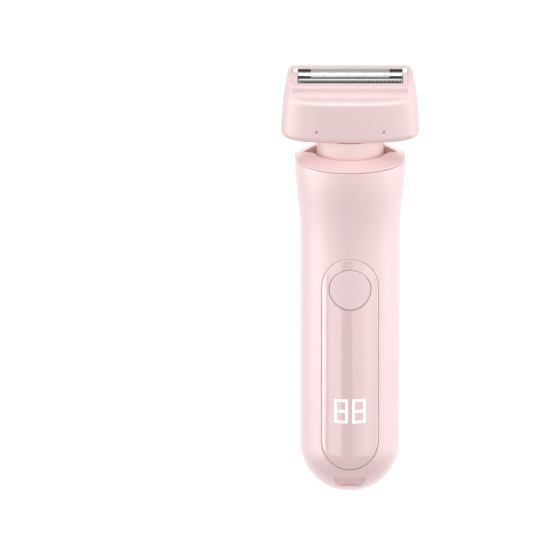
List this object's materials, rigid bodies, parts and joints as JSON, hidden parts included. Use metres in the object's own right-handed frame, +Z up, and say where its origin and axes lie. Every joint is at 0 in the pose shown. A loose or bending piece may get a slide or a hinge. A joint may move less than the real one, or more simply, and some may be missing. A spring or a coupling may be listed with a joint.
{
  "type": "lady shaver",
  "caption": "Cordless lady shaver with a round display handle and a lift-off head that has a perforated foil and a toothed trimmer.",
  "frame": {"origin": "centre of the flat base that the handle stands on", "axes": "+Z up along the handle's axis, -Y towards the button and display, X along the foil"},
  "size_m": [0.0528, 0.0422, 0.1653],
  "materials": {
    "shell_pink": "glossy",
    "collar_pink": "glossy",
    "panel_pink": "glossy",
    "digit_light": "lit",
    "diffuser_white": "satin",
    "display_black": "satin",
    "seal_rose": "satin",
    "switch_steel": "satin",
    "chassis_white": "satin",
    "screw_steel": "satin",
    "board_green": "satin",
    "chip_black": "satin",
    "battery_wrap": "glossy",
    "nickel": "satin",
    "lead_red": "satin",
    "lead_black": "satin",
    "motor_steel": "satin",
    "magnet_grey": "matte",
    "end_bell_white": "satin",
    "terminal_brass": "satin",
    "bush_bronze": "satin",
    "seal_white": "satin",
    "cover_rose": "satin",
    "button_pink": "satin",
    "switch_black": "satin",
    "shaft_steel": "polished",
    "armature_copper": "satin",
    "coupling_white": "satin",
    "head_pink": "satin",
    "mark_rose": "satin",
    "neck_pink": "glossy",
    "spring_steel": "polished",
    "cam_white": "satin",
    "blade_steel": "ground",
    "cassette_pink": "satin",
    "foil_steel": "polished"
  },
  "bodies": {
    "handle": {"handle_shell": "shell_pink", "collar_ring": "collar_pink", "front_panel": "panel_pink", "display_digits": "digit_light", "display_diffuser": "diffuser_white", "display_module": "display_black", "button_seal": "seal_rose", "tact_switch": "switch_steel", "chassis": "chassis_white", "chassis_screws": "screw_steel", "motor_screws": "screw_steel", "main_board": "board_green", "board_chips": "chip_black", "board_screws": "screw_steel", "battery_cell": "battery_wrap", "battery_tabs": "nickel", "battery_leads": "lead_red", "motor_leads": "lead_black", "motor_can": "motor_steel", "motor_magnets": "magnet_grey", "motor_end_bell": "end_bell_white", "motor_terminals": "terminal_brass", "motor_bushing": "bush_bronze", "motor_seal": "seal_white", "usb_socket": "nickel", "usb_tongue": "chip_black", "charge_board": "board_green", "port_gasket": "seal_white", "cover_anchor": "cover_rose"},
    "button": {"power_button": "button_pink", "switch_plunger": "switch_black"},
    "rotor": {"motor_shaft": "shaft_steel", "motor_armature": "armature_copper", "motor_commutator": "terminal_brass", "drive_coupling": "coupling_white"},
    "cover": {"port_cover": "cover_rose"},
    "head": {"head_shell": "head_pink", "lock_marks": "mark_rose", "head_base": "neck_pink", "base_screws": "screw_steel", "head_oring": "seal_white", "guide_rods": "shaft_steel", "shaft_bushing": "bush_bronze", "cassette_springs": "spring_steel"},
    "head_drive": {"head_shaft": "shaft_steel", "shaft_coupling": "coupling_white", "eccentric_cam": "cam_white"},
    "bridge": {"oscillating_bridge": "cam_white", "cutter_springs": "spring_steel"},
    "cutter": {"inner_cutter": "blade_steel"},
    "cassette": {"cassette_frame": "cassette_pink", "shaver_foil": "foil_steel", "trimmer_comb": "foil_steel"},
    "trimmer": {"trimmer_blade": "blade_steel"}
  },
  "joints": [
    {"name": "power_button_press", "type": "slide", "parent": "handle", "child": "button", "axis": [0, 1, 0], "range_m": [0, 0.0006], "stiffness_N_per_m": 1200, "springref_m": -0.0003},
    {"name": "motor_spin", "type": "hinge", "parent": "handle", "child": "rotor", "pos_m": [0, 0, 0.105], "axis": [0, 0, 1], "continuous": true},
    {"name": "port_cover_open", "type": "hinge", "parent": "handle", "child": "cover", "pos_m": [0, 0.00485, 0.00025], "axis": [1, 0, 0], "range_deg": [0, 100]},
    {"name": "head_pull", "type": "slide", "parent": "handle", "child": "head", "axis": [0, 0, 1], "range_m": [0, 0.025]},
    {"name": "head_cam_spin", "type": "hinge", "parent": "head", "child": "head_drive", "pos_m": [0, 0, 0.14], "axis": [0, 0, 1], "continuous": true},
    {"name": "bridge_slide", "type": "slide", "parent": "head", "child": "bridge", "axis": [1, 0, 0], "range_m": [-0.0012, 0.0012]},
    {"name": "cassette_float", "type": "slide", "parent": "head", "child": "cassette", "axis": [0, 0, -1], "range_m": [0, 0.0008], "stiffness_N_per_m": 900, "springref_m": -0.0004, "deforming": ["cassette_springs"]},
    {"name": "cutter_float", "type": "slide", "parent": "bridge", "child": "cutter", "axis": [0, 0, -1], "range_m": [0, 0.0008], "stiffness_N_per_m": 600, "springref_m": -0.0004, "deforming": ["cutter_springs"]},
    {"name": "trimmer_slide", "type": "slide", "parent": "cassette", "child": "trimmer", "axis": [1, 0, 0], "range_m": [-0.0012, 0.0012]}
  ],
  "couplings": [
    {"joint": "head_cam_spin", "follows": "motor_spin", "ratio": 1},
    {"joint": "cutter_float", "follows": "cassette_float", "ratio": 1},
    {"joint": "trimmer_slide", "follows": "bridge_slide", "ratio": 1}
  ]
}
